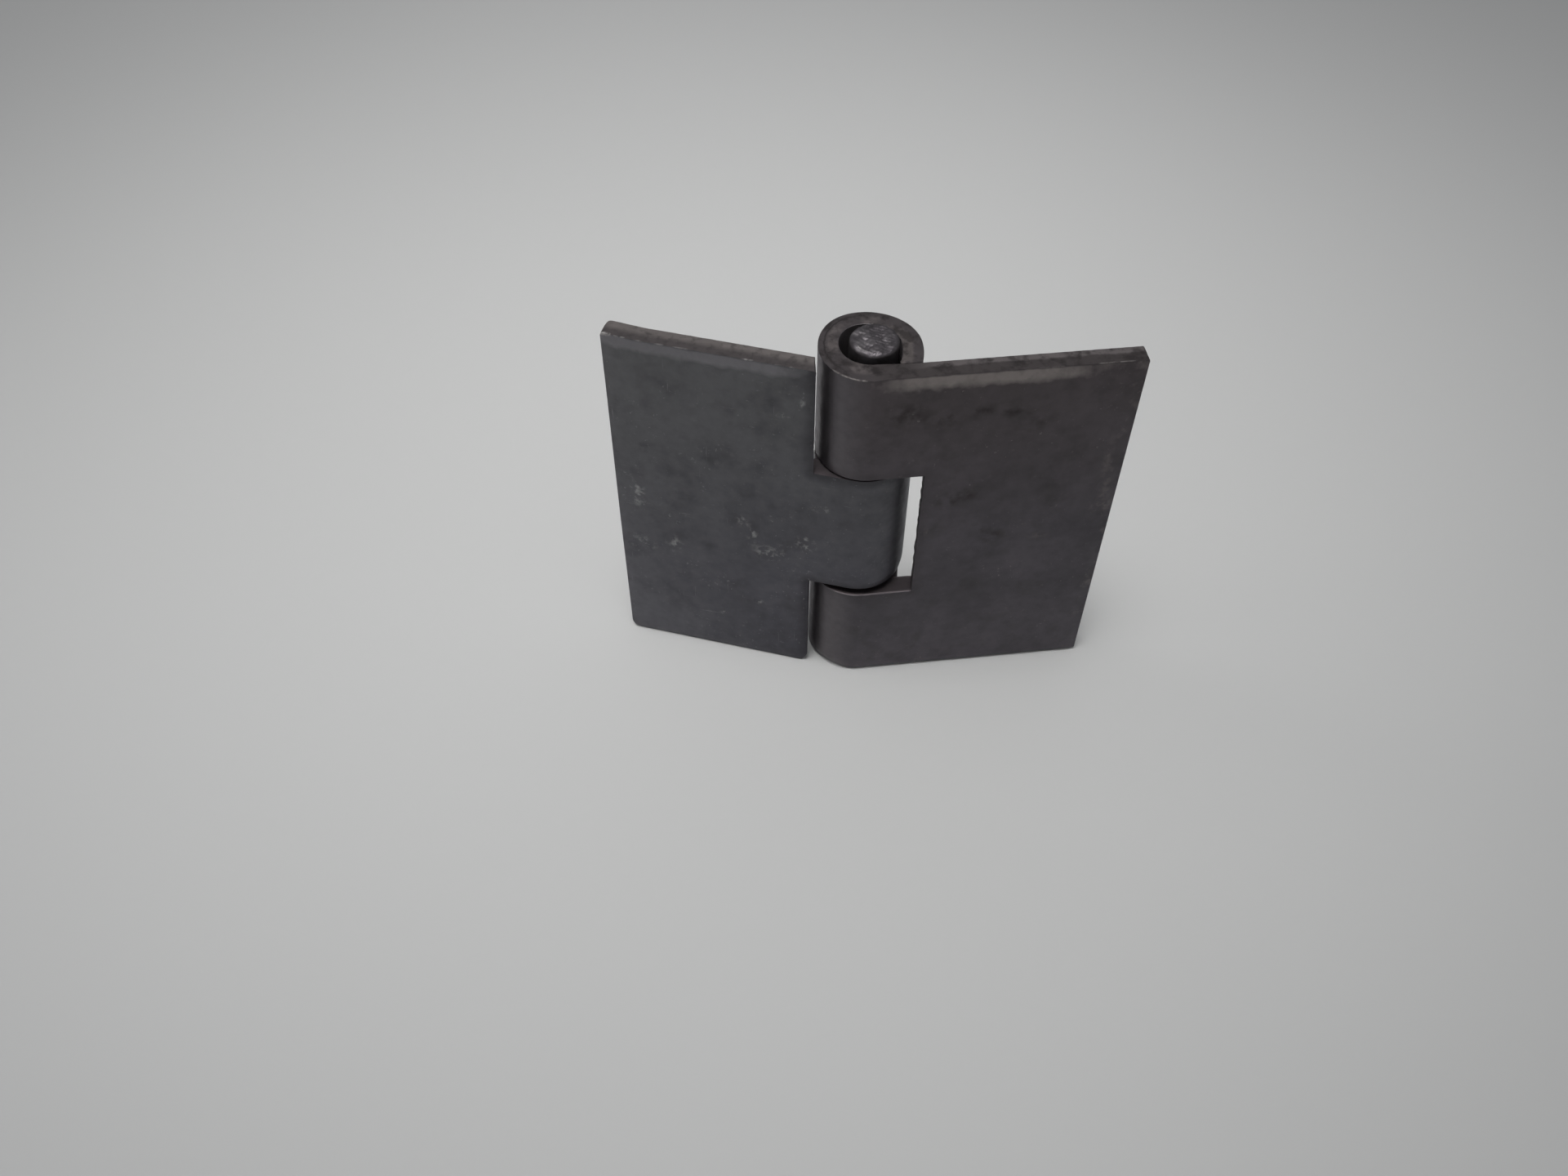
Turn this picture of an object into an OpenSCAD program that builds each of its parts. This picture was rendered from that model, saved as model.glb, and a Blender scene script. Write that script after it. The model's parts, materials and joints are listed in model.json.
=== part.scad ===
// Weld-on leaf hinge: two leaves stamped from steel sheet, their tongues rolled into knuckles,
// and a loose round pin. The fixed leaf has a knuckle at its foot and one at its head, and the
// swing leaf has one between them.
// Frame: the knuckles' common axis is Z, the floor is z = 0 and the fixed leaf runs along +X.
// Both leaves' flat weld faces look towards -Y, and the knuckles roll to the back, +Y.

/* [Sheet] */
// Thickness of the steel sheet
sheet_t = 3; // [1.6:0.1:4]
// Height of both leaves, measured along the pin
leaf_h = 60; // [50:1:120]
// How far the sheared edge falls back from the weld face
edge_fall = 0.25; // [0.1:0.05:0.8]
// Width of the strip along the edge that falls back
edge_run = 1.7; // [0.5:0.1:4]

/* [Pin] */
// Diameter of the pin
pin_d = 6.5; // [5:0.1:10]
// Play between the pin and the rolled hole, on the diameter
pin_play = 1.5; // [0.3:0.1:2.5]
// Gap kept between the leaning pin and the wall it leans on
pin_seat_gap = 0.06; // [0.02:0.01:0.1]
// Way the pin leans in its hole, in degrees from the fixed leaf
pin_lean = 40; // [0:1:359]
// How far the pin stands out of the head knuckle
pin_proud = 0.9; // [0.05:0.05:4]
// Worn edge round each end of the pin
pin_edge = 0.5; // [0.1:0.1:1.5]

/* [Knuckles] */
// How much thinner than the plate the sheet is drawn where it is rolled
roll_thin = 0.25; // [0:0.05:0.5]
// Length of the fixed leaf's knuckle at the foot
foot_knuckle = 17.8; // [10:0.1:20]
// Length of the fixed leaf's knuckle at the head
head_knuckle = 17.7; // [10:0.1:20]
// Free height under the centre knuckle
foot_gap = 1.5; // [0.2:0.1:3]
// Free height over the centre knuckle
head_gap = 0.25; // [0.2:0.05:3]
// How much wider than the roll its last stretch is bent, on the radius
closing_ease = 3.4; // [0.5:0.1:5]
// Seam left between the end of the roll and the back of its leaf
seam = 0.1; // [0.05:0.05:0.5]

/* [Fixed leaf] */
// From the pin axis to the outer end of the fixed leaf
fixed_reach = 34.9; // [25:0.1:80]
// Space between the centre knuckle and the slot's edge
slot_gap = 0.9; // [0.7:0.05:3]
// How far the slot's wall slants towards the pin from the back of the leaf to its weld face
slot_slant = 0.5; // [0:0.1:0.7]
// Corner radius at the outer foot of the fixed leaf
fixed_foot_r = 0.8; // [0.2:0.1:6]
// Corner radius at the outer head of the fixed leaf
fixed_head_r = 0.3; // [0.2:0.1:6]

/* [Swing leaf] */
// From the pin axis to the outer end of the swing leaf
swing_reach = 34.4; // [25:0.1:80]
// Angle that the swing leaf is folded back from flat, as it stands
rest_fold = 21; // [0:1:90]
// Space between the fixed leaf's knuckles and the swing leaf's shoulders
shoulder_gap = 0.55; // [0.3:0.05:3]
// How far the shoulder's wall slants towards the pin from the back of the leaf to its weld face
shoulder_slant = 0.5; // [0:0.1:1]
// Corner radius of the shoulder at the foot of the swing leaf
shoulder_foot_r = 1.8; // [0.2:0.1:3]
// Corner radius of the shoulder at the head of the swing leaf
shoulder_head_r = 0.3; // [0.2:0.1:3]
// Corner radius at the outer foot of the swing leaf
swing_foot_r = 1.6; // [0.2:0.1:6]
// Corner radius at the outer head of the swing leaf
swing_head_r = 0.5; // [0.2:0.1:6]

/* [Hidden] */
$fn = 96;

fixed_colour = "#403e3f";
swing_colour = "#454749";
pin_colour = "#5b5957";

// Roll: wall, hole and outside radius, and the wider arc of its last stretch
roll_t = sheet_t - roll_thin;
bore_r = (pin_d + pin_play) / 2;
roll_r = bore_r + roll_t;
closing_r = roll_r + closing_ease;

// From the pin axis to the plane of the plate's back
plate_back = roll_r - sheet_t;

// Distances from the pin axis at which the slot and the shoulders are cut, behind and in front.
// A shoulder's back corner is its nearest point to the axis, so the gap is kept there.
slot_x = roll_r + slot_gap;
slot_face_x = slot_x - slot_slant;
shoulder_x = sqrt(pow(roll_r + shoulder_gap, 2) - pow(plate_back, 2));
shoulder_face_x = shoulder_x - shoulder_slant;

// Heights of the slot in the fixed leaf and of the swing leaf's tongue
slot_low = foot_knuckle;
slot_high = leaf_h - head_knuckle;
tongue_low = slot_low + foot_gap;
tongue_high = slot_high - head_gap;

// How far cutting shapes run past the metal
over = 2;

pin_offset = bore_r - pin_d / 2 - pin_seat_gap;
pin_length = leaf_h + pin_proud;

// Section of a leaf whose plate runs along +X: plate, three quarters of the roll about the
// axis, and the wider closing stretch that ends just behind the plate
module rolled_section(reach) {
    difference() {
        union() {
            translate([0, -roll_r]) square([reach, sheet_t]);
            difference() {
                circle(roll_r);
                translate([0, -roll_r - over]) square(roll_r + over);
            }
        }
        circle(bore_r);
    }
    intersection() {
        translate([roll_r - closing_r, 0]) difference() {
            circle(closing_r);
            circle(closing_r - roll_t);
        }
        translate([0, seam - plate_back]) square([closing_r, plate_back - seam]);
    }
}

// Wedge that makes the weld face fall back along its edge at the head, the foot being its mirror
module edge_wedge(reach) {
    face_y = -roll_r;
    rotate([90, 0, 90]) translate([0, 0, -roll_r - over])
        linear_extrude(reach + roll_r + 2 * over)
            polygon([
                [face_y, leaf_h - edge_run],
                [face_y + edge_fall, leaf_h],
                [face_y + edge_fall, leaf_h + over],
                [face_y - over, leaf_h + over],
                [face_y - over, leaf_h - edge_run]
            ]);
}

// The same wedge down the leaf's outer end
module end_wedge(reach) {
    face_y = -roll_r;
    translate([0, 0, -over]) linear_extrude(leaf_h + 2 * over)
        polygon([
            [reach - edge_run, face_y],
            [reach, face_y + edge_fall],
            [reach + over, face_y + edge_fall],
            [reach + over, face_y - over],
            [reach - edge_run, face_y - over]
        ]);
}

// What is cut away to round a corner of the plate: the corner is at [x, z], and towards gives
// the two directions, +1 or -1, that lead from it into the metal
module corner_cut(x, z, towards, r) {
    translate([x, -roll_r - over, z])
        mirror([towards[0] < 0 ? 1 : 0, 0, 0])
        mirror([0, 0, towards[1] < 0 ? 1 : 0])
        mirror([0, 1, 0]) rotate([90, 0, 0])
        linear_extrude(sheet_t + 2 * over) difference() {
            translate([-over, -over]) square(r + over);
            translate([r, r]) circle(r);
        }
}

// Leaf before its knuckles are cut apart, with the fallen edges of a sheared blank
module rolled_leaf(reach) {
    difference() {
        linear_extrude(leaf_h) rolled_section(reach);
        edge_wedge(reach);
        translate([0, 0, leaf_h]) mirror([0, 0, 1]) edge_wedge(reach);
        end_wedge(reach);
    }
}

// What is cut away between two heights: the plate nearer the axis than face_x at its weld face
// and back_x at its back, and the whole roll. The step behind the plate lies halfway through the
// seam, so the cut takes the roll's end and no plate.
module knuckle_cut(face_x, back_x, low, high) {
    wide = roll_r + over;
    seam_y = seam / 2 - plate_back;
    translate([0, 0, low]) linear_extrude(high - low)
        polygon([
            [-wide, -wide],
            [face_x, -wide],
            [face_x, -roll_r],
            [back_x, -plate_back],
            [back_x, seam_y],
            [wide, seam_y],
            [wide, wide],
            [-wide, wide]
        ]);
}

module fixed_leaf() {
    color(fixed_colour) difference() {
        rolled_leaf(fixed_reach);
        knuckle_cut(slot_face_x, slot_x, slot_low, slot_high);
        corner_cut(fixed_reach, 0, [-1, 1], fixed_foot_r);
        corner_cut(fixed_reach, leaf_h, [-1, -1], fixed_head_r);
    }
}

module swing_leaf() {
    color(swing_colour) rotate([0, 0, -rest_fold]) mirror([1, 0, 0]) difference() {
        rolled_leaf(swing_reach);
        knuckle_cut(shoulder_face_x, shoulder_x, -over, tongue_low);
        knuckle_cut(shoulder_face_x, shoulder_x, tongue_high, leaf_h + over);
        corner_cut(shoulder_face_x, 0, [1, 1], shoulder_foot_r);
        corner_cut(shoulder_face_x, leaf_h, [1, -1], shoulder_head_r);
        corner_cut(swing_reach, 0, [-1, 1], swing_foot_r);
        corner_cut(swing_reach, leaf_h, [-1, -1], swing_head_r);
    }
}

module hinge_pin() {
    pin_r = pin_d / 2;
    color(pin_colour) rotate([0, 0, pin_lean]) translate([pin_offset, 0, 0]) rotate_extrude()
        polygon([
            [0, 0],
            [pin_r - pin_edge, 0],
            [pin_r, pin_edge],
            [pin_r, pin_length - pin_edge],
            [pin_r - pin_edge, pin_length],
            [0, pin_length]
        ]);
}

fixed_leaf();
swing_leaf();
hinge_pin();
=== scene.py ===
import json
import math

import bpy
import numpy as np
from mathutils import Matrix, Vector


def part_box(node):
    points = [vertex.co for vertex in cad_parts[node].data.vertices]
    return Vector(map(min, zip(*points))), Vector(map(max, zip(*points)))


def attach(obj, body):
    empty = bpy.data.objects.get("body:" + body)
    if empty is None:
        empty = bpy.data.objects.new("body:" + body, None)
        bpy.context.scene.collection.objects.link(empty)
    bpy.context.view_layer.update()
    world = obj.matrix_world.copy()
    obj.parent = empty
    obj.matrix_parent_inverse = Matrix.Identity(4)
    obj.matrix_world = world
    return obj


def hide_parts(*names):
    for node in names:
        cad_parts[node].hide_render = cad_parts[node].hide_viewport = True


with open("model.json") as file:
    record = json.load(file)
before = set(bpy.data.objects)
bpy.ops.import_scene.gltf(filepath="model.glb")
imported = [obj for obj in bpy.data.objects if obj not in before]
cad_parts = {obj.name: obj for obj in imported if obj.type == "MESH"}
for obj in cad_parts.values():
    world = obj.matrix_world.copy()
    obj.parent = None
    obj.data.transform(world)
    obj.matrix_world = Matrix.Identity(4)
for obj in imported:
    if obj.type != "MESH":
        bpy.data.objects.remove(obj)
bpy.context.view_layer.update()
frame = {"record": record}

mm = 0.001  # sizes in the dictionaries are millimetres, meshes are metres


def nodeBox(name):
    # Lower and upper corner of a CAD node, in millimetres
    low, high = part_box(name)
    return np.array(low) / mm, np.array(high) / mm


fixedLow, fixedHigh = nodeBox("fixed_leaf")
pinLow, pinHigh = nodeBox("hinge_pin")
weldAxis = {m["name"]: m["axis"] for m in frame["record"]["mounts"]}

# The sheet that both leaves are cut from
sheet = {
    "thick": 3.0,
    "height": fixedHigh[2],
    "rollRadius": -fixedLow[1],           # outside of the rolled knuckle
    "closingRadius": 3.4 - fixedLow[1],   # the roll's last stretch is bent wider
    "seam": 0.03,                         # left between the roll's end and the plate
    "wallFade": 4.5,                      # plate beside the roll that shares its start's thickness
    "bulge": (0.3, 150, 35),              # the roll pressed out: by, at and over so many degrees
    "faceStep": 0.4,                      # coarsest grid steps on the flat and round the knuckle
    "rollStep": 0.4,
    "edgeStep": 0.05,                     # grid step along a cut edge
    "stepGrowth": 0.25,
    "wallRows": 8,                        # grid rows through the thickness of a cut edge
    "fallPower": 1.2,                     # how a fallen edge bends towards its lip
    "fallStart": {"head": (-2.0, 2.0), "foot": (-4.0, 2.5)},  # where the plate's fallen edges begin
    "paleStart": {"head": (-2.0, 5.0)},   # and where their pale band begins
    "paleIn": (-0.1, 0.3),                # millimetres from the edge over which the band eases in
    "paleOut": (1.6, 0.6),                # and shares of the edge's run over which it eases out
    "paintedShadeBand": (2.0, 0.1),               # bands of painted shade ease in between these distances
    "rubAndHighlightWidth": 0.12,
    "tear": (1.3, 0.4),                   # torn walls: length of a bite and how far in it reaches
    "tearFront": 0.25,                    # share of the bite left at the weld face
    "slantReach": (1.0, 0.6),             # how far in a leaning wall and a rising foot reach
    "sharpAngle": 38,
}
quarterTurns = 1.5 * math.pi
rollEnd = -sheet["rollRadius"] * quarterTurns
sheetEnd = rollEnd - (sheet["rollRadius"] - sheet["thick"] - sheet["seam"])

# Sizes of a leaf, in millimetres on its flat blank:
# cuts: they go nearer the axis than a place, between two heights
# slant: how far a cut's upright wall leans away and its foot rises at the back, and how much nearer
#   the wall is low down
# corners: the two edges and the radius
# rollWall: wall round the roll, as mean, cosine, sine and double cosine
# edges: how far the face falls back and over what width, the lip's radius at the face and at the
#   back, and how ragged the torn wall between them is
# pale: strength of the band on a fallen edge, and the share it fades by from one place to another
# shade band: strength of the band of painted shade beside a cut, standing in for the shade there
# dents: edge, depth, at and over so many degrees of the roll, eased in between two distances
# curl: how far the outer end bends back, over what length and above what height
# scuffs and stains: places along and up the leaf, half sizes and strength
# rubbed lips: lips worn bright, and lips painted with highlights, as an edge, a stretch and a strength
fixedLeaf = {
    "name": "fixed_leaf_sheet", "node": "fixed_leaf", "body": "fixed", "slot": "sheet_steel",
    "reach": fixedHigh[0],
    "turn": 0.0,
    "mirrored": False,
    "cuts": {"slot": (7.15, 18.25, 42.3)},
    "slant": {"slot": (0.5, 0.25, 0.0)},
    "corners": [("end", "foot", 0.8), ("end", "head", 0.3)],
    "rollWall": (2.78, 0.45, 0.04, 0.05),
    "edges": {
        "head": {"fall": 0.25, "run": 1.7, "lip": 0.02, "backLip": 0.05, "ragged": 0.03},
        "foot": {"fall": 0.25, "run": 1.5, "lip": 0.60, "backLip": 0.10, "ragged": 0.03},
        "end": {"fall": 0.20, "run": 1.7, "lip": 0.15, "backLip": 0.15, "ragged": 0.03},
        "lip": {"fall": 0.00, "run": 1.0, "lip": 0.06, "backLip": 0.40, "ragged": 0.03},
        "slot": {"fall": 0.03, "run": 0.5, "lip": 0.08, "backLip": 0.06, "ragged": 0.20},
    },
    "pale": {"head": (1.0, 0.75, 20.0, 32.0), "end": (0.15, 0.0, 0.0, 1.0)},
    "dull": {"slot": 0.4},
    "dents": [("foot", 0.5, 285, 30, 30.0, 20.0), ("foot", 0.6, 42, 26, 2.2, 0.0)],
    "curl": (0.0, 6.0, 20.0),
    "scuffs": [(4.4, 58.4, 2.4, 1.0, 0.8), (32.4, 43.2, 0.7, 4.5, 0.5), (33.2, 36.5, 0.9, 3.5, 0.6),
               (32.8, 33.4, 1.6, 0.7, 0.6),
               (1.6, 2.8, 0.7, 0.35, 0.8), (0.2, 1.0, 0.6, 0.5, 0.5), (8.3, 31.1, 0.4, 0.9, 0.6),
               (24.7, 28.4, 1.6, 0.6, 0.5)],
    "stains": [(3.9, 53.7, 2.6, 2.4, 0.8), (9.3, 52.8, 2.4, 1.8, 0.7), (14.0, 53.6, 1.6, 1.2, 0.8),
               (17.8, 53.7, 1.5, 1.4, 0.9), (20.9, 51.2, 2.4, 1.8, 0.7), (10.8, 37.4, 2.0, 1.8, 0.7),
               (13.6, 38.2, 1.4, 1.4, 0.7), (18.1, 29.3, 2.2, 1.4, 0.7), (15.5, 30.8, 1.2, 1.2, 0.6)],
    "rubbedAndHighlit": [("head", -6.5, -1.5, 0.5), ("head", 20.0, 24.0, 0.25), ("head", 28.0, 33.0, 0.35),
               ("foot", -6.0, 2.0, 0.5)],
    "seed": 11,
}
swingLeaf = {
    "name": "swing_leaf_sheet", "node": "swing_leaf", "body": "swing", "slot": "sheet_steel",
    "reach": 34.4,
    "turn": math.atan2(weldAxis["swing_weld_face"][0], -weldAxis["swing_weld_face"][1]),
    "mirrored": True,
    "cuts": {"footShoulder": (5.68, -5.0, 19.3), "headShoulder": (5.62, 42.05, 65.0)},
    "slant": {"footShoulder": (0.5, 0.0, 0.0), "headShoulder": (0.75, 0.0, 0.08)},
    "corners": [("end", "foot", 1.6), ("end", "head", 0.5),
                ("footShoulder", "foot", 1.8), ("headShoulder", "head", 0.3)],
    "rollWall": (2.75, 0.0, 0.0, 0.0),
    "edges": {
        "head": {"fall": 0.25, "run": 1.5, "lip": 0.02, "backLip": 0.05, "ragged": 0.03},
        "foot": {"fall": 0.25, "run": 1.3, "lip": 0.20, "backLip": 0.10, "ragged": 0.03},
        "end": {"fall": 0.25, "run": 1.3, "lip": 0.12, "backLip": 1.10, "ragged": 0.03},
        "lip": {"fall": 0.00, "run": 1.0, "lip": 0.06, "backLip": 0.40, "ragged": 0.03},
        "footShoulder": {"fall": 0.30, "run": 1.9, "lip": 0.25, "backLip": 0.10, "ragged": 0.04},
        "headShoulder": {"fall": 0.10, "run": 1.3, "lip": 0.03, "backLip": 0.10, "ragged": 0.04},
    },
    "pale": {"head": (1.0, 0.9, 12.0, 6.5), "foot": (0.15, 0.0, 0.0, 1.0)},
    "dull": {"headShoulder": 0.6, "footShoulder": 0.6},
    "dents": [],
    "curl": (0.34, 6.0, 20.0),
    "scuffs": [(31.1, 32.0, 0.9, 2.8, 1.0), (32.6, 35.3, 0.9, 0.3, 0.9), (4.2, 35.4, 1.2, 0.7, 0.7),
               (6.3, 27.6, 1.4, 1.6, 0.8), (12.2, 24.1, 1.6, 1.4, 0.7), (10.1, 24.7, 1.0, 1.6, 0.6),
               (14.1, 27.3, 0.8, 1.6, 0.7), (15.5, 30.0, 1.0, 1.2, 0.6), (31.2, 20.9, 2.0, 1.6, 0.6),
               (26.1, 22.3, 1.2, 1.8, 0.6), (13.1, 12.6, 0.6, 0.5, 0.8), (19.0, 8.4, 0.7, 0.4, 0.8),
               (7.3, 54.5, 0.4, 0.7, 0.8), (9.9, 51.8, 1.0, 0.5, 0.6)],
    "stains": [(29.0, 41.0, 3.0, 1.5, 0.6), (20.0, 41.0, 4.0, 1.6, 0.6), (24.0, 33.0, 3.0, 1.5, 0.5)],
    "rubbedAndHighlit": [("head", 33.0, 34.6, 3.0), ("head", 31.0, 33.0, 0.55), ("head", 28.4, 29.6, 0.3),
               ("head", 25.7, 27.0, 0.35), ("head", 22.4, 24.5, 0.3), ("head", 14.0, 15.2, 0.6),
               ("head", 10.2, 11.0, 0.4), ("head", 8.4, 9.2, 0.35)],
    "seed": 23,
}


def waves(x, y, size, seed, count=10):
    # Irregular bumps: the sum of plane waves about one size long, each with its own heading and
    # phase, scaled to lie mostly between -1 and 1
    draw = np.random.default_rng(seed)
    heading = draw.uniform(0, 2 * np.pi, count)
    phase = draw.uniform(0, 2 * np.pi, count)
    number = 2 * np.pi / (size * draw.uniform(0.7, 1.5, count))
    x, y = np.broadcast_arrays(x, y)
    along = x[..., None] * np.cos(heading) + y[..., None] * np.sin(heading)
    return np.cos(along * number + phase).sum(-1) / math.sqrt(2 * count)


def smoothStep(low, high, value):
    # 0 under low, 1 over high, and the cubic 3t^2 - 2t^3 between them
    t = np.clip((value - low) / (high - low), 0, 1)
    return t * t * (3 - 2 * t)


def gradedLine(stops, coarse):
    # Grid lines through all the stops, given as (place, step there): the step grows with the
    # distance from a stop up to coarse, and lines stand where the sum of 1/step is whole
    lines = []
    for (start, stepA), (end, stepB), widest in zip(stops[:-1], stops[1:], coarse):
        place = np.linspace(start, end, 600)
        near = np.minimum(stepA + sheet["stepGrowth"] * (place - start),
                          stepB + sheet["stepGrowth"] * (end - place))
        step = np.minimum(near, widest)
        total = np.concatenate([[0], np.cumsum(np.diff(place) * 2 / (step[1:] + step[:-1]))])
        wanted = np.linspace(0, total[-1], math.ceil(total[-1]) + 1)
        lines.append(np.interp(wanted, total, place)[:-1])
    return np.append(np.concatenate(lines), stops[-1][0])


def edgeGaps(leaf, s, z):
    # Distance from (s, z) on the flat blank to each of its edges; to a cut it is the distance to
    # a rectangle
    gaps = {"head": sheet["height"] - z, "foot": z, "end": leaf["reach"] - s, "lip": s - sheetEnd}
    for name, (nearest, low, high) in leaf["cuts"].items():
        gaps[name] = np.hypot(np.maximum(s - nearest, 0), np.maximum(np.maximum(low - z, z - high), 0))
    return gaps


def rounded(gap, radius):
    # Drop of a quarter round edge: radius - sqrt(radius^2 - (radius - gap)^2)
    t = np.clip(1 - gap / radius, 0, 1)
    return radius * (1 - np.sqrt(1 - t * t))


def faceFall(leaf, gaps, s):
    # Depth of the weld face under its plane: the largest of the edges' falls, each a power of
    # (1 - gap/run), which the rolling presses out of the knuckle's stretch of head and foot, plus
    # the dents: depth times a bell in degrees round the roll, eased in towards an edge
    pressed = {name: smoothStep(*stretch, s) for name, stretch in sheet["fallStart"].items()}
    fall = np.zeros_like(s)
    for name, gap in gaps.items():
        edge = leaf["edges"][name]
        slope = np.clip(1 - gap / edge["run"], 0, 1) ** sheet["fallPower"]
        fall = np.maximum(fall, edge["fall"] * pressed.get(name, 1.0) * slope)
    degrees = np.degrees(-s / sheet["rollRadius"])
    for name, depth, at, over, start, end in leaf["dents"]:
        fall += depth * np.exp(-((degrees - at) / over) ** 2) * smoothStep(start, end, gaps[name])
    return fall


def rollShare(leaf, gaps, s):
    # Pale bands along the edges: their strength, eased in beside the edge and out over its run;
    # from one place to another they fade by a share
    pressed = {name: smoothStep(*stretch, s) for name, stretch in sheet["paleStart"].items()}
    share = np.zeros_like(s)
    for name, (strength, fade, fadeFrom, fadeTo) in leaf["pale"].items():
        gap = gaps[name]
        run = leaf["edges"][name]["run"]
        inside = smoothStep(*sheet["paleIn"], gap) * smoothStep(*sheet["paleOut"], gap / run)
        along = 1 - fade * smoothStep(fadeFrom, fadeTo, s)
        share = np.maximum(share, strength * pressed.get(name, 1.0) * inside * along)
    return share


def paintedShadeShare(leaf, gaps, s):
    # Bands of painted shade along the cuts: the largest of their strengths, each eased in towards its
    # edge
    bands = [strength * smoothStep(*sheet["paintedShadeBand"], gaps[name])
             for name, strength in leaf["dull"].items()]
    return np.max([np.zeros_like(s), *bands], axis=0)


def lipRound(leaf, gaps, key):
    # Drop of the face or back at its lips: the largest of the edges' quarter rounds
    drops = [rounded(gap, leaf["edges"][name][key]) for name, gap in gaps.items()]
    return np.max(drops, axis=0)


def sheetThick(leaf, s):
    # Round the roll, mean + cosine, sine and double cosine parts of the angle from its start;
    # on the plate its start fades smoothly into the sheet's own thickness
    mean, cosine, sine, double = leaf["rollWall"]
    angle = np.clip(-s / sheet["rollRadius"], 0, quarterTurns)
    rolled = mean + cosine * np.cos(angle) + sine * np.sin(angle) + double * np.cos(2 * angle)
    extra = mean + cosine + double - sheet["thick"]
    plate = sheet["thick"] + extra * (1 - smoothStep(0, sheet["wallFade"], s))
    return np.where(s > 0, plate, rolled)


def cornered(leaf, s, z):
    # Rounds the blank's corners: inside each corner's square, with a and b running from 0 to 1
    # towards its two edges, a becomes a sqrt(1 - b^2/2) and b becomes b sqrt(1 - a^2/2)
    sides = {"end": (leaf["reach"], -1), "head": (sheet["height"], -1), "foot": (0.0, 1)}
    sides.update({name: (cut[0], 1) for name, cut in leaf["cuts"].items()})
    for across, up, radius in leaf["corners"]:
        (edgeS, wayS), (edgeZ, wayZ) = sides[across], sides[up]
        a = 1 - (s - edgeS) * wayS / radius
        b = 1 - (z - edgeZ) * wayZ / radius
        inside = (a > 0) & (b > 0) & (a <= 1.0001) & (b <= 1.0001)
        a, b = np.clip(a, 0, 1), np.clip(b, 0, 1)
        s = np.where(inside, edgeS + wayS * radius * (1 - a * np.sqrt(1 - b * b / 2)), s)
        z = np.where(inside, edgeZ + wayZ * radius * (1 - b * np.sqrt(1 - a * a / 2)), z)
    return s, z


def torn(leaf, gaps, s, z, depth):
    # Shift of the cut walls into the metal, larger towards the torn back: a share of the edge's
    # raggedness from waves one bite long, and the cut's slants, each times exp(-gap/reach)
    biteSize, biteReach = sheet["tear"]
    front = sheet["tearFront"]
    leanReach, riseReach = sheet["slantReach"]
    moveS, moveZ = np.zeros_like(s), np.zeros_like(s)
    for place, (name, gap) in enumerate(gaps.items()):
        edge = leaf["edges"][name]
        along = s if name in ("head", "foot") else z
        bite = 0.5 + 0.5 * np.clip(waves(along, 1.5 * depth, biteSize, leaf["seed"] + place), -1, 1)
        deeper = front + (1 - front) * depth
        amount = edge["ragged"] * deeper * bite * np.exp(-gap / biteReach)
        if name == "head":
            moveZ -= amount
        elif name == "foot":
            moveZ += amount
        elif name == "end":
            moveS -= amount
        elif name == "lip":
            moveS += amount
        else:
            nearest, low, high = leaf["cuts"][name]
            beside = (z >= low) & (z <= high)
            lean, rise, taper = leaf["slant"][name]
            down = (high - z) / (high - low)
            leaning = (lean * depth - taper * down) * np.exp(-gap / leanReach)
            moveS += np.where(beside, amount + leaning, 0)
            under = rise * depth * np.exp(-gap / riseReach) - amount
            level = np.where(z > high, amount, under)
            moveZ += np.where(beside, 0, level) * (s < nearest + 0.01)
    return moveS, moveZ


def rollSheet(s, depth):
    # Where a point s along the sheet and depth under its face comes to lie: straight for s > 0,
    # then three quarters round the axis at radius - depth, with a bell-shaped bulge, then down
    # the wider closing arc, whose middle is on the same level
    out, at, over = sheet["bulge"]
    closing = sheet["closingRadius"]
    angle = np.clip(-s / sheet["rollRadius"], 0, quarterTurns)
    radius = sheet["rollRadius"] + out * np.exp(-((np.degrees(angle) - at) / over) ** 2)
    down = np.clip(rollEnd - s, 0, None)
    x = -(radius - depth) * np.sin(angle)
    y = -(radius - depth) * np.cos(angle)
    across = np.sqrt(np.maximum((closing - depth) ** 2 - down ** 2, 0))
    x = np.where(s < rollEnd, sheet["rollRadius"] - closing + across, x)
    return np.where(s > 0, s, x), np.where(s < rollEnd, -down, y)


def placeSheet(leaf, s, z, share):
    # The leaf as a function of place on the blank and share of its thickness: depth goes from the
    # fallen face to the rounded back, and the whole sheet curls back a little towards its end
    gaps = edgeGaps(leaf, s, z)
    front = faceFall(leaf, gaps, s) + lipRound(leaf, gaps, "lip")
    back = sheetThick(leaf, s) - lipRound(leaf, gaps, "backLip")
    front = np.minimum(front, back)
    moveS, moveZ = torn(leaf, gaps, s, z, share)
    bend, over, above = leaf["curl"]
    curl = bend * smoothStep(leaf["reach"] - over, leaf["reach"], s)
    curl = curl * smoothStep(above, sheet["height"], z)
    s, z = cornered(leaf, s, z)
    x, y = rollSheet(s + moveS, front + (back - front) * share)
    x = -x if leaf["mirrored"] else x
    y = y + curl
    cosT, sinT = math.cos(leaf["turn"]), math.sin(leaf["turn"])
    return np.stack([x * cosT - y * sinT, x * sinT + y * cosT, z + moveZ], -1)


def markShare(rows, s, z):
    # Marks on the face: the sum of strength times exp(-(ds/sizeS)^2 - (dz/sizeZ)^2)
    placeS, placeZ, sizeS, sizeZ, strength = np.array(rows).T
    away = ((s[:, None] - placeS) / sizeS) ** 2 + ((z[:, None] - placeZ) / sizeZ) ** 2
    return (strength * np.exp(-away)).sum(1)


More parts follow.
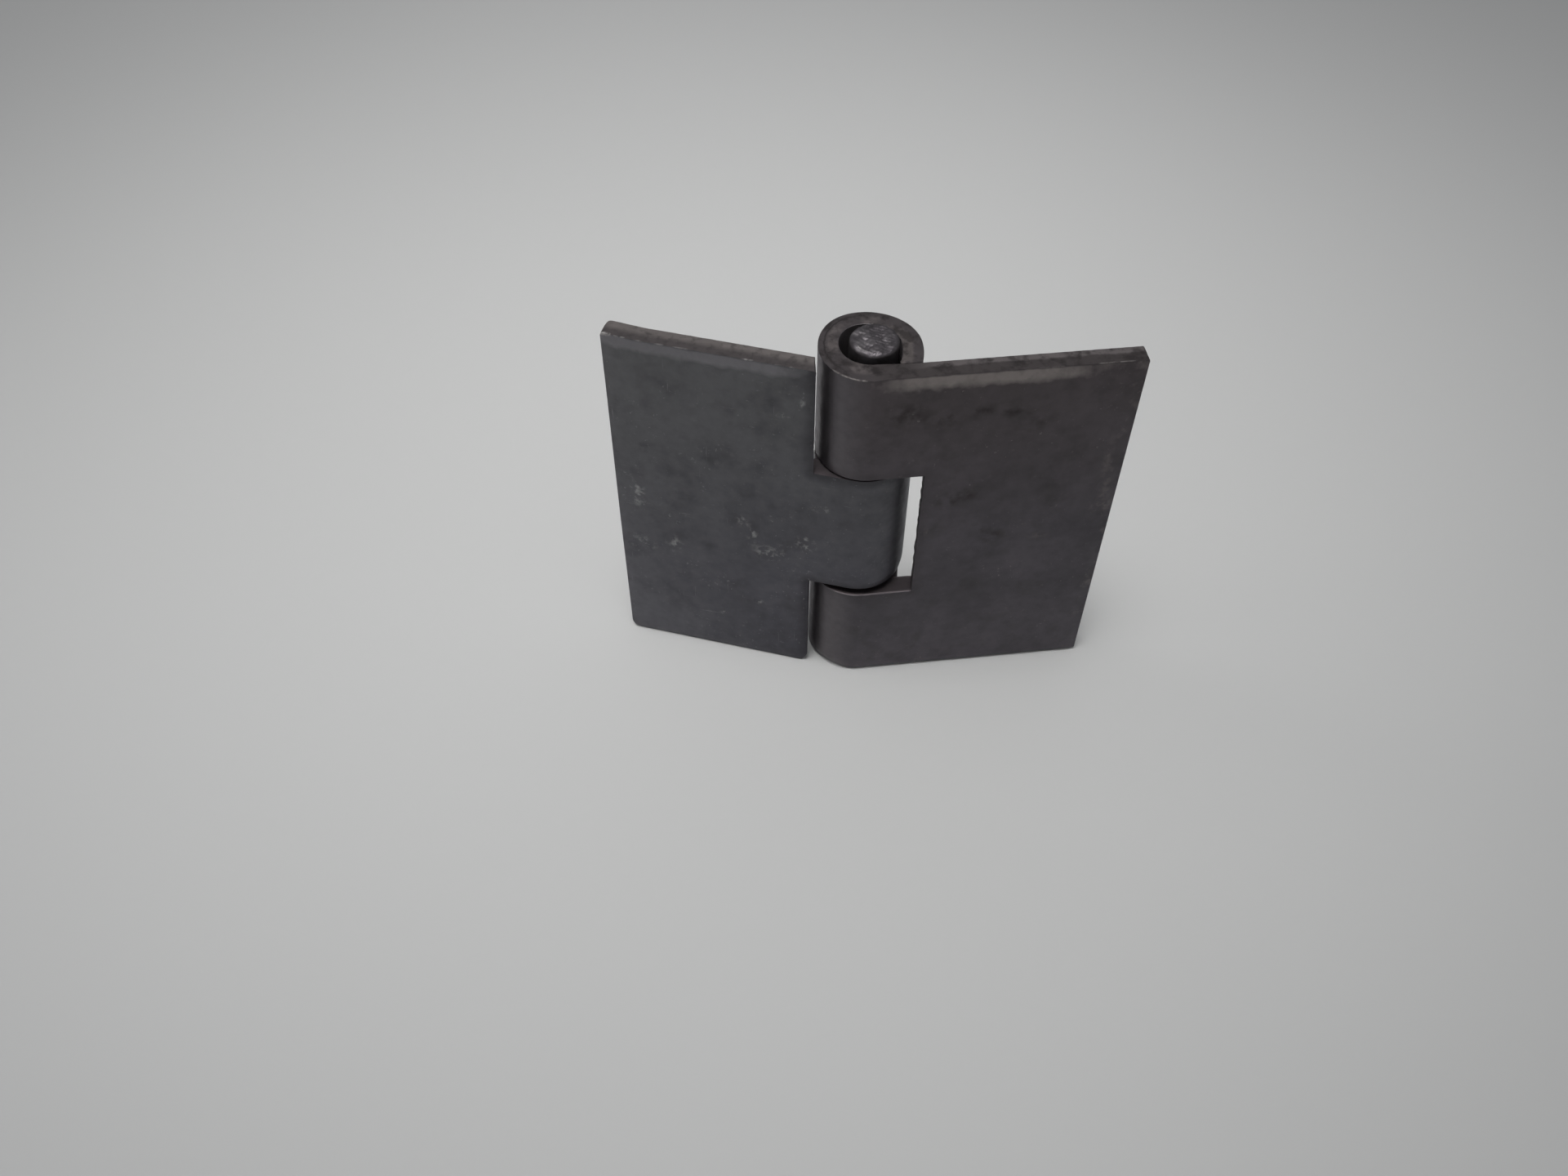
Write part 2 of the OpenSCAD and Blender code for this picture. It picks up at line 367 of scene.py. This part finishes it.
def rubAndHighlightShare(leaf, gaps, s, z):
    # Rubbed lips, some worn bright and some painted highlights: strength times exp(-gap/width) along
    # each stretch, whose ends are eased
    ease = 0.5
    rub = np.zeros_like(s)
    for name, start, end, strength in leaf["rubbedAndHighlit"]:
        along = s if name in ("head", "foot") else z
        stretch = smoothStep(start - ease, start + ease, along)
        stretch = stretch * smoothStep(end + ease, end - ease, along)
        rub = np.maximum(rub, strength * stretch * np.exp(-gaps[name] / sheet["rubAndHighlightWidth"]))
    return rub


def meshObject(piece, points, faces, attributes, sharpAngle):
    # points in millimetres, faces as arrays of index rows, one float per point in each attribute
    mesh = bpy.data.meshes.new(piece["name"])
    mesh.from_pydata((points * mm).tolist(), [], sum((block.tolist() for block in faces), []))
    for key, values in attributes.items():
        layer = mesh.attributes.new(key, "FLOAT", "POINT")
        layer.data.foreach_set("value", np.asarray(values, np.float32))
    mesh.shade_smooth()
    mesh.set_sharp_from_angle(angle=math.radians(sharpAngle))
    obj = bpy.data.objects.new(piece["name"], mesh)
    bpy.context.scene.collection.objects.link(obj)
    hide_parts(piece["node"])
    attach(obj, piece["body"])
    print(piece["name"], len(mesh.polygons), "faces")
    return obj


def makeLeaf(leaf):
    # A grid over the flat blank, as face and back, with cells left out where it is cut, and walls
    # of several rows along every edge where a kept cell meets none
    cutPlaces = sorted({cut[0] for cut in leaf["cuts"].values()})
    fine, face, roll = sheet["edgeStep"], sheet["faceStep"], sheet["rollStep"]
    sStops = [(sheetEnd, fine), (rollEnd, roll), (0.0, roll)]
    sStops += [(place, fine) for place in cutPlaces] + [(leaf["reach"], fine)]
    heights = {h for cut in leaf["cuts"].values() for h in cut[1:]}
    heights = sorted(h for h in heights if 0 < h < sheet["height"])
    zStops = [(h, fine) for h in [0.0, *heights, sheet["height"]]]
    sLine = gradedLine(sStops, [roll] * 2 + [face] * (len(sStops) - 3))
    zLine = gradedLine(zStops, [face] * (len(zStops) - 1))
    s, z = np.meshgrid(sLine, zLine, indexing="ij")

    middles = [(line[1:] + line[:-1]) / 2 for line in (sLine, zLine)]
    midS, midZ = np.meshgrid(*middles, indexing="ij")
    kept = np.ones_like(midS, bool)
    for nearest, low, high in leaf["cuts"].values():
        kept &= ~((midS < nearest) & (midZ > low) & (midZ < high))
    number = np.arange(s.size).reshape(s.shape)
    around = [number[:-1, :-1], number[1:, :-1], number[1:, 1:], number[:-1, 1:]]
    cells = np.stack(around, -1)[kept]

    padded = np.pad(kept, 1)
    inner, before, below = padded[1:, 1:], padded[:-1, 1:], padded[1:, :-1]
    upright = inner[:, :-1].astype(int) - before[:, :-1]  # 1 where metal starts along s, -1 at its end
    level = inner[:-1, :].astype(int) - below[:-1, :]     # the same along z
    low, high = number[:, :-1], number[:, 1:]
    left, right = number[:-1, :], number[1:, :]
    starts, ends = upright == 1, upright == -1
    floors, tops = level == 1, level == -1
    fromPoint = np.concatenate([low[starts], high[ends], right[floors], left[tops]])
    toPoint = np.concatenate([high[starts], low[ends], left[floors], right[tops]])

    used, compact = np.unique(cells, return_inverse=True)
    cells = compact.reshape(-1, 4)
    rim, rimCompact = np.unique(np.concatenate([fromPoint, toPoint]), return_inverse=True)
    fromRim, toRim = rimCompact.reshape(2, -1)
    faceS, faceZ = s.ravel()[used], z.ravel()[used]
    rimS, rimZ = s.ravel()[rim], z.ravel()[rim]
    rimFace = np.searchsorted(used, rim)

    rows = sheet["wallRows"]
    shares = np.arange(1, rows) / rows
    allS = np.concatenate([faceS, faceS, np.tile(rimS, rows - 1)])
    allZ = np.concatenate([faceZ, faceZ, np.tile(rimZ, rows - 1)])
    share = np.concatenate([np.zeros(used.size), np.ones(used.size), np.repeat(shares, rim.size)])
    ring = [rimFace] + [2 * used.size + k * rim.size + np.arange(rim.size) for k in range(rows - 1)]
    ring.append(used.size + rimFace)
    walls = [np.stack([a[fromRim], a[toRim], b[toRim], b[fromRim]], -1)
             for a, b in zip(ring[:-1], ring[1:])]
    faces = np.concatenate([cells, cells[:, ::-1] + used.size] + walls)
    if leaf["mirrored"]:
        faces = faces[:, ::-1]

    gaps = edgeGaps(leaf, allS, allZ)
    onFace = share == 0
    attributes = {
        "edgeGap": np.min(list(gaps.values()), axis=0),
        "depthShare": share,
        "rollover": onFace * rollShare(leaf, gaps, allS),
        # painted shade beside the cuts
        "dull": onFace * paintedShadeShare(leaf, gaps, allS),
        "rolled": smoothStep(2.0, -2.0, allS),
        "outer": allS / leaf["reach"],
        "height": allZ / sheet["height"],
        "bend": np.clip(-allS / sheet["rollRadius"] / (np.pi / 2), 0, 3),  # quarter turns of the roll
        "inner": np.any([gaps[name] < 1e-6 for name in leaf["cuts"]], axis=0),
        "scuff": onFace * markShare(leaf["scuffs"], allS, allZ),
        "stain": onFace * markShare(leaf["stains"], allS, allZ),
        # worn bright lips and painted lip highlights
        "rub": np.where(share < 0.1, rubAndHighlightShare(leaf, gaps, allS, allZ), 0),
    }
    points = placeSheet(leaf, allS, allZ, share)
    return meshObject(leaf, points, [faces], attributes, sheet["sharpAngle"])


pin = {
    "name": "hinge_pin_bar", "node": "hinge_pin", "body": "fixed", "slot": "pin_steel",
    "radius": (pinHigh[0] - pinLow[0]) / 2,
    "middle": (pinLow + pinHigh) / 2,
    "length": pinHigh[2],
    "edge": 0.6,                     # rounding of the hammered upper rim
    "footEdge": 0.3,
    "hammered": (0.9, 0.1),          # hammer marks fade in between these depths under the top
    "dentSize": 1.7,
    "dentDepth": 0.10,
    "dentShare": (0.35, 1.4),        # how much of the end is dented, and the deepest dent
    "fineDents": (0.6, 0.35),        # size and share of the small marks among them
    "columns": 120,
    "rows": (5, 40, 24),             # grid rows on the foot, the bar and the head
    "poles": (0.6, 0.1),             # innermost rows of foot and head
    "rub": (-134, 24, 0.82, 0.035),  # painted highlight on the rim: at and over degrees, share of radius, width
    "seed": 5,
    "sharpAngle": 50,
}


def makePin(pin):
    # A turned profile (r, z) carried round the pin's axis; the upper end is sunk by hammer marks,
    # the positive part of waves one dent long
    radius, top, edge, footEdge = pin["radius"], pin["length"], pin["edge"], pin["footEdge"]
    footRows, barRows, headRows = pin["rows"]
    footPole, headPole = pin["poles"]
    arc = np.linspace(0, np.pi / 2, 9)
    r = np.concatenate([
        np.linspace(footPole, radius - footEdge, footRows),
        radius - footEdge + footEdge * np.sin(arc[1:]),
        np.full(barRows, radius),
        radius - edge + edge * np.cos(arc),
        np.linspace(radius - edge, headPole, headRows)[1:],
    ])
    z = np.concatenate([
        np.zeros(footRows),
        footEdge - footEdge * np.cos(arc[1:]),
        top - edge - (top - footEdge - edge) * np.linspace(1, 0, barRows + 2)[1:-1] ** 2,
        top - edge + edge * np.sin(arc),
        np.full(headRows - 1, top),
    ])
    turn = np.arange(pin["columns"]) * 2 * np.pi / pin["columns"]
    x, y = r[:, None] * np.cos(turn), r[:, None] * np.sin(turn)
    fadeFrom, fadeTo = pin["hammered"]
    dented, deepest = pin["dentShare"]
    fineSize, fineShare = pin["fineDents"]
    onTop = smoothStep(top - fadeFrom, top - fadeTo, z)[:, None] * np.ones_like(x)
    dents = np.clip(dented + waves(x, y, pin["dentSize"], pin["seed"]), 0, deepest)
    dents += fineShare * np.clip(waves(x, y, fineSize, pin["seed"] + 1), -1, 1)
    level = z[:, None] - onTop * pin["dentDepth"] * np.clip(dents, 0, None)
    points = np.stack([x + pin["middle"][0], y + pin["middle"][1], level], -1).reshape(-1, 3)
    # painted highlight: a bright crescent on the front-left side of the hammered rim
    at, over, place, width = pin["rub"]
    off = (np.degrees(turn) - at + 180) % 360 - 180
    rub = onTop * np.exp(-(off / over) ** 2) * np.exp(-((r[:, None] / radius - place) / width) ** 2)

    rows, columns = x.shape
    number = np.arange(rows * columns).reshape(rows, columns)
    after = np.roll(number, -1, axis=1)
    quads = np.stack([number[:-1], after[:-1], after[1:], number[1:]], -1).reshape(-1, 4)
    foot = np.full(columns, rows * columns)
    caps = np.concatenate([np.stack([foot, after[0], number[0]], -1),
                           np.stack([foot + 1, number[-1], after[-1]], -1)])
    poles = np.array([[*pin["middle"][:2], 0], points[-columns:].mean(0)])
    attributes = {
        "headShare": np.append(onTop.ravel(), [0, 1]),
        "rub": np.append(rub.ravel(), [0, 0]),
    }
    points = np.concatenate([points, poles])
    return meshObject(pin, points, [quads, caps], attributes, pin["sharpAngle"])


fixedObject = makeLeaf(fixedLeaf)
swingObject = makeLeaf(swingLeaf)
pinObject = makePin(pin)


def linear(code):
    # sRGB hex to linear: c/12.92 under 0.04045, else ((c + 0.055)/1.055)^2.4
    c = np.array([int(code[i:i + 2], 16) for i in (1, 3, 5)]) / 255
    c = np.where(c <= 0.04045, c / 12.92, ((c + 0.055) / 1.055) ** 2.4)
    return (*c.tolist(), 1.0)


def addNode(tree, kind, settings, out=0):
    # One node, of which one output is returned. A setting is linked if it is another node's
    # output, or else goes to the property or the input of that name or number.
    node = tree.nodes.new(kind)
    for key, value in settings.items():
        if isinstance(value, bpy.types.NodeSocket):
            tree.links.new(value, node.inputs[key])
        elif isinstance(key, str) and hasattr(node, key):
            setattr(node, key, value)
        else:
            node.inputs[key].default_value = value
    return node.outputs[out] if node.outputs else node


def newMaterial(name):
    # An empty material and its node tree
    material = bpy.data.materials.new(name)
    material.use_nodes = True
    material.node_tree.nodes.clear()
    return material, material.node_tree


def perMetre(size):
    # Pattern scale for a size in millimetres: one over the size in metres
    return 1 / (size * mm)


clouds = {"detail": 3.0, "roughness": 0.55}


def sourceValue(tree, place, source):
    # A point attribute by its name, or a noise by its size or its three sizes along the axes
    if isinstance(source, str):
        return addNode(tree, "ShaderNodeAttribute", {"attribute_name": source}, "Fac")
    if isinstance(source, tuple):
        scales = [perMetre(size) for size in source]
        place = addNode(tree, "ShaderNodeMapping", {"Vector": place, "Scale": scales})
        source = 1 / mm
    return addNode(tree, "ShaderNodeTexNoise", {
        "Vector": place, "Scale": perMetre(source),
        "Detail": clouds["detail"], "Roughness": clouds["roughness"]})


def layered(tree, place, base, layers):
    # Layers of a finish, from the bottom up: a colour, how much of it, and ramps whose product is
    # its mask. A ramp takes a source from one level to another; a noise's size and share may be
    # added to blur an attribute's border.
    colour = addNode(tree, "ShaderNodeRGB", {})
    colour.default_value = linear(base)
    for code, amount, *ramps in layers:
        mask = None
        for source, low, high, *blur in ramps:
            value = sourceValue(tree, place, source)
            if blur:
                value = addNode(tree, "ShaderNodeMath", {
                    "operation": "MULTIPLY_ADD",
                    0: sourceValue(tree, place, blur[0]), 1: blur[1], 2: value})
            value = addNode(tree, "ShaderNodeMapRange", {
                "Value": value, "From Min": low, "From Max": high,
                "To Max": 1.0 if mask else amount})
            if mask:
                value = addNode(tree, "ShaderNodeMath", {"operation": "MULTIPLY", 0: mask, 1: value})
            mask = value
        colour = addNode(tree, "ShaderNodeMix", {
            "data_type": "RGBA", 0: mask, 6: colour, 7: linear(code)}, 2)
    return colour


# Hot-rolled steel sheet under its dark mill scale, cropped on a shear: a matt grey skin with faint
# clouds, handling stains and scratches, paler rolled-over edges, and torn brownish walls
fixedSteel = {
    "name": "hot_rolled_steel_warm_scale",
    "base": "#535054",
    "layers": [
        ("#5e5a5f", 1.0, (13.0, 0.35, 0.65)),
        ("#5d5554", 0.5, ("height", 0.5, 1.0)),
        ("#494647", 0.4, (5.0, 0.55, 0.7)),
        ("#3f3b3b", 0.8, ("stain", 0.1, 0.7), (2.4, 0.42, 0.6)),
        # painted reflection: the knuckles are lighter over bands of the roll's turn, standing in for
        # the bright floor they mirror, and their dark side beside the leaf is lifted
        ("#656164", 1.0, ("bend", 0.05, 0.4), ("bend", 1.1, 0.7)),
        ("#767275", 1.0, ("bend", 0.6, 0.85), ("bend", 1.4, 1.0)),
        ("#959092", 1.0, ("depthShare", 0.98, 1.0), ("rolled", 0.5, 1.0)),
        # painted shade: darker band beside the slot
        ("#444042", 0.8, ("dull", 0.0, 1.0)),
        ("#6d6868", 0.8, ("scuff", 0.1, 0.6), (0.9, 0.42, 0.6)),
        ("#8a8684", 0.5, (0.5, 0.66, 0.74), (6.0, 0.45, 0.6)),
        ("#968f8c", 1.0, ("rollover", -0.4, 0.4, 2.2, -1.2)),
        ("#524d4d", 1.0, ("edgeGap", 0.03, 0.0)),
        ("#767070", 0.9, ("edgeGap", 0.03, 0.0), ("outer", 0.12, 0.26),
         ("depthShare", 0.72, 0.85, 2.0, 0.3)),
        ("#575253", 0.9, ("edgeGap", 0.03, 0.0), ("rolled", 0.2, 0.8)),
        ("#746d6c", 0.75, ("edgeGap", 0.03, 0.0), ("rolled", 0.5, 1.0), ("depthShare", 0.3, 0.5),
         (2.2, 0.46, 0.62)),
        ("#827b78", 0.7, ("edgeGap", 0.03, 0.0), ("bend", 2.6, 2.9), ("depthShare", 0.4, 0.55),
         (1.8, 0.42, 0.56)),
        ("#393536", 0.8, ("edgeGap", 0.03, 0.0), ("bend", 0.3, 0.7), ("bend", 2.1, 1.7),
         ("depthShare", 0.33, 0.40, 0.8, 0.2), ("depthShare", 0.48, 0.41, 0.8, 0.2)),
        ("#3c3838", 0.8, ("edgeGap", 0.03, 0.0), (1.8, 0.48, 0.64)),
        # painted shade: the recessed walls of the slot get one darker tone
        ("#544e50", 0.85, ("edgeGap", 0.03, 0.0), ("inner", 0.0, 1.0)),
        # worn bright lips, partly painted highlights along the lips
        ("#b4aeaa", 1.0, ("rub", 0.15, 0.6), (0.9, 0.38, 0.55)),
    ],
}
swingSteel = {
    "name": "hot_rolled_steel_cool_scale",
    "base": "#525157",
    "layers": [
        ("#5f5e64", 1.0, (13.0, 0.35, 0.65)),
        ("#706f73", 0.6, ("outer", 0.3, 1.1)),
        ("#727272", 0.65, ("height", 0.3, 1.0)),
        ("#4e4c50", 0.5, (5.0, 0.5, 0.7)),
        ("#464447", 0.6, ("stain", 0.1, 0.8), (2.4, 0.44, 0.6)),
        # painted shade: darker bands beside the shoulders
        ("#38363a", 0.9, ("dull", 0.0, 1.0)),
        ("#9a9a9a", 0.8, ("scuff", 0.1, 0.6), (0.9, 0.5, 0.66)),
        ("#a2a2a4", 0.35, (0.5, 0.64, 0.72), (6.0, 0.45, 0.6)),
        ("#8c8c8e", 0.5, ((0.35, 0.35, 5.0), 0.68, 0.74), (5.0, 0.45, 0.6)),
        ("#8c8c8e", 0.5, ((4.0, 4.0, 0.3), 0.68, 0.74), (4.0, 0.5, 0.6)),
        ("#868487", 1.0, ("rollover", -0.4, 0.3, 2.2, -1.2)),
        ("#5b5656", 1.0, ("edgeGap", 0.03, 0.0)),
        ("#7a7472", 1.0, ("edgeGap", 0.03, 0.0), ("depthShare", 0.5, 0.85, 2.0, 0.3)),
        ("#3f3c3d", 0.5, ("edgeGap", 0.03, 0.0), (1.2, 0.5, 0.68)),
        # painted shade: the recessed walls of the shoulders get one tone, set for how bright they look
        # in their shade
        ("#686164", 0.75, ("edgeGap", 0.03, 0.0), ("inner", 0.0, 1.0)),
        # worn bright lips, partly painted highlights along the lips
        ("#b4b0ae", 1.0, ("rub", 0.1, 0.6), (0.9, 0.36, 0.55)),
    ],
}
# Drawn steel bar, cropped and hammered at its end: brighter facets on the dents, and a painted
# highlight on the rim
pinSteel = {
    "name": "drawn_steel_hammered_end",
    "base": "#5e5a5c",
    "layers": [
        ("#575356", 1.0, ("headShare", 0.8, 0.97)),
        ("#7e7a7c", 0.8, ("headShare", 0.8, 0.97), (2.6, 0.46, 0.62)),
        ("#3e3b3d", 0.7, ("headShare", 0.8, 0.97), (1.8, 0.52, 0.64)),
        # painted highlight on the rim
        ("#a19d9b", 1.0, ("rub", 0.2, 0.6), (0.7, 0.4, 0.58)),
    ],
}
# Grain of the skin: patches of roughness, and bumps drawn coarser than the real ones, which are
# finer than a pixel
grain = {
    "roughness": (0.46, 0.62), "patchSize": 1.5, "patchLevels": (0.3, 0.7),
    "size": 0.45, "height": 0.02, "strength": 0.5,
}


def steel(finish):
    # Bare metal in the finish's layers of colour, with patchy roughness and fine bumps
    material, tree = newMaterial(finish["name"])
    place = addNode(tree, "ShaderNodeTexCoord", {}, "Object")
    rough = addNode(tree, "ShaderNodeMapRange", {
        "Value": sourceValue(tree, place, grain["patchSize"]),
        "From Min": grain["patchLevels"][0], "From Max": grain["patchLevels"][1],
        "To Min": grain["roughness"][0], "To Max": grain["roughness"][1]})
    bump = addNode(tree, "ShaderNodeBump", {
        "Strength": grain["strength"], "Distance": grain["height"] * mm,
        "Height": sourceValue(tree, place, grain["size"])})
    shader = addNode(tree, "ShaderNodeBsdfPrincipled", {
        "Metallic": 1.0, "Base Color": layered(tree, place, finish["base"], finish["layers"]),
        "Roughness": rough, "Normal": bump})
    addNode(tree, "ShaderNodeOutputMaterial", {"Surface": shader})
    return material


for obj, finish in ((fixedObject, fixedSteel), (swingObject, swingSteel), (pinObject, pinSteel)):
    obj.data.materials.append(steel(finish))
print("materials done")

# Camera: stands in front of the knuckles and looks down at the hinge
view = {
    "lens": 32.54, "sensor": 36.0, "clip": (0.01, 50),
    "place": (-28.45, -137.37, 178.78),
    "pitch": 50.05, "heading": -7.305, "roll": 0.6016,
}
cameraData = bpy.data.cameras.new("camera")
cameraData.lens, cameraData.sensor_width = view["lens"], view["sensor"]
cameraData.clip_start, cameraData.clip_end = view["clip"]
camera = bpy.data.objects.new("camera", cameraData)
bpy.context.scene.collection.objects.link(camera)
camera.matrix_world = (Matrix.Translation(Vector(view["place"]) * mm)
                       @ Matrix.Rotation(math.radians(view["heading"]), 4, "Z")
                       @ Matrix.Rotation(math.radians(90 - view["pitch"]), 4, "X")
                       @ Matrix.Rotation(math.radians(view["roll"]), 4, "Z"))
bpy.context.scene.camera = camera

# Pale table top, soft daylight from the left and a lamp whose beam makes a pool of light
studio = {
    "floorColour": "#b5b5b4", "floorRoughness": 0.6, "floorSize": 4.0,
    "aim": (-0.012, 0.05, 0.0),
    "skyColour": "#fafcff", "skyStrength": 0.36,
    "lamps": {
        "window": {"place": (-0.8, 0.2, 0.8), "size": 0.7, "power": 2.0, "spread": 180,
                   "colour": "#ffffff"},
        "key": {"place": (-0.08, -0.04, 0.64), "size": 0.30, "power": 0.23, "spread": 32,
                "colour": "#ffffff"},
    },
}
half = studio["floorSize"] / 2
floorMesh = bpy.data.meshes.new("table_top")
floorCorners = [(-half, -half, 0), (half, -half, 0), (half, half, 0), (-half, half, 0)]
floorMesh.from_pydata(floorCorners, [], [(0, 1, 2, 3)])
floor = bpy.data.objects.new("table_top", floorMesh)
bpy.context.scene.collection.objects.link(floor)
floorMaterial, tree = newMaterial("pale_table_top")
shader = addNode(tree, "ShaderNodeBsdfPrincipled", {
    "Base Color": linear(studio["floorColour"]), "Roughness": studio["floorRoughness"]})
addNode(tree, "ShaderNodeOutputMaterial", {"Surface": shader})
floorMesh.materials.append(floorMaterial)

world = bpy.data.worlds.new("studio")
bpy.context.scene.world = world
world.use_nodes = True
background = world.node_tree.nodes["Background"]
background.inputs["Color"].default_value = linear(studio["skyColour"])
background.inputs["Strength"].default_value = studio["skyStrength"]

for name, setup in studio["lamps"].items():
    lampData = bpy.data.lights.new(name, "AREA")
    lampData.size, lampData.energy = setup["size"], setup["power"]
    lampData.spread = math.radians(setup["spread"])
    lampData.color = linear(setup["colour"])[:3]
    lamp = bpy.data.objects.new(name, lampData)
    lamp.location = setup["place"]
    towards = Vector(studio["aim"]) - lamp.location
    lamp.rotation_euler = towards.to_track_quat("-Z", "Y").to_euler()
    bpy.context.scene.collection.objects.link(lamp)
bpy.context.scene.view_settings.view_transform = "Standard"
print("camera and studio done")
